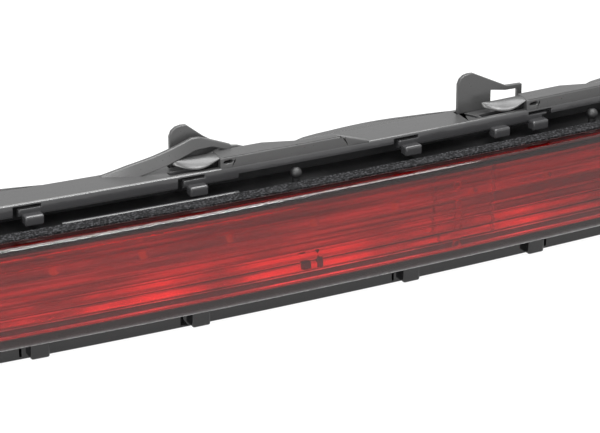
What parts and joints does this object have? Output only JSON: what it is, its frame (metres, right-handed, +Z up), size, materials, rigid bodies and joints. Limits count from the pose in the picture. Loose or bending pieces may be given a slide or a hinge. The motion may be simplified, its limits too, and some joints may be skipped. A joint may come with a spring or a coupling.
{
  "type": "third brake light",
  "caption": "Slim bowed high-mounted brake lamp: a long fluted red lens in a black housing, held between two black trim rails with raised tunnels and sprung fin latches.",
  "frame": {"origin": "centre of the bounding box in plan, at the underside of the lower rail", "axes": "+X along the lamp, +Y from the lens towards the back, +Z up from the lower rail to the upper rail; the lens faces -Y"},
  "size_m": [0.5736, 0.0444, 0.0501],
  "materials": {
    "lens": "clear red acrylic, moulded glossy",
    "optic": "clear acrylic, moulded glossy",
    "housing": "black moulded plastic, fine satin",
    "foam": "closed-cell foam, matt and speckled",
    "rail": "black moulded plastic, glossy",
    "latch": "black moulded plastic, glossy",
    "reflector": "white moulded plastic",
    "board": "green solder mask, satin",
    "led": "white lamp body with yellow phosphor",
    "chip": "black ceramic chip body",
    "solder": "tinned wire",
    "steel": "zinc-plated steel",
    "socket": "black moulded plastic, satin",
    "contact": "tinned brass",
    "seal": "orange silicone rubber",
    "vent": "dark grey moulded plastic",
    "stud": "black moulded plastic, glossy"
  },
  "bodies": {
    "lamp": {"lens": "lens", "optic_left": "optic", "optic_right": "optic", "housing": "housing", "gasket": "foam", "upper_rail": "rail", "lower_rail": "rail", "reflector_left": "reflector", "reflector_right": "reflector", "led_board_1": "board", "led_board_2": "board", "led_board_3": "board", "led_board_4": "board", "led_board_5": "board", "led_board_6": "board", "leds": "led", "resistors": "chip", "board_links": "solder", "board_screws": "steel", "connector_socket": "socket", "terminals": "contact", "connector_seal": "seal", "vent_plug": "vent", "ball_studs": "stud", "upper_rail_screws": "steel", "lower_rail_screws": "steel"},
    "sprung_latch_1": {"latch_1": "latch"},
    "sprung_latch_2": {"latch_2": "latch"},
    "sprung_latch_3": {"latch_3": "latch"},
    "sprung_latch_4": {"latch_4": "latch"},
    "sprung_latch_5": {"latch_5": "latch"},
    "sprung_latch_6": {"latch_6": "latch"}
  },
  "joints": [
    {"name": "latch_1_press", "type": "hinge", "parent": "lamp", "child": "sprung_latch_1", "pos_m": [-0.23899, 0.01402, 0.03915], "axis": [0.1417, 0.9899, 0], "range_deg": [-5, 0], "stiffness_Nm_per_rad": 0.05},
    {"name": "latch_2_press", "type": "hinge", "parent": "lamp", "child": "sprung_latch_2", "pos_m": [-0.16667, 0.00595, 0.03915], "axis": [0.1023, 0.9948, 0], "range_deg": [-5, 0], "stiffness_Nm_per_rad": 0.05},
    {"name": "latch_3_press", "type": "hinge", "parent": "lamp", "child": "sprung_latch_3", "pos_m": [-0.04783, -0.00103, 0.03915], "axis": [0.0373, 0.9993, 0], "range_deg": [-5, 0], "stiffness_Nm_per_rad": 0.05},
    {"name": "latch_4_press", "type": "hinge", "parent": "lamp", "child": "sprung_latch_4", "pos_m": [0.03286, -0.00136, 0.03915], "axis": [-0.0068, 1, 0], "range_deg": [-5, 0], "stiffness_Nm_per_rad": 0.05},
    {"name": "latch_5_press", "type": "hinge", "parent": "lamp", "child": "sprung_latch_5", "pos_m": [0.15175, 0.00465, 0.03915], "axis": [-0.0718, 0.9974, 0], "range_deg": [-5, 0], "stiffness_Nm_per_rad": 0.05},
    {"name": "latch_6_press", "type": "hinge", "parent": "lamp", "child": "sprung_latch_6", "pos_m": [0.22414, 0.01213, 0.03915], "axis": [-0.1114, 0.9938, 0], "range_deg": [-5, 0], "stiffness_Nm_per_rad": 0.05}
  ]
}
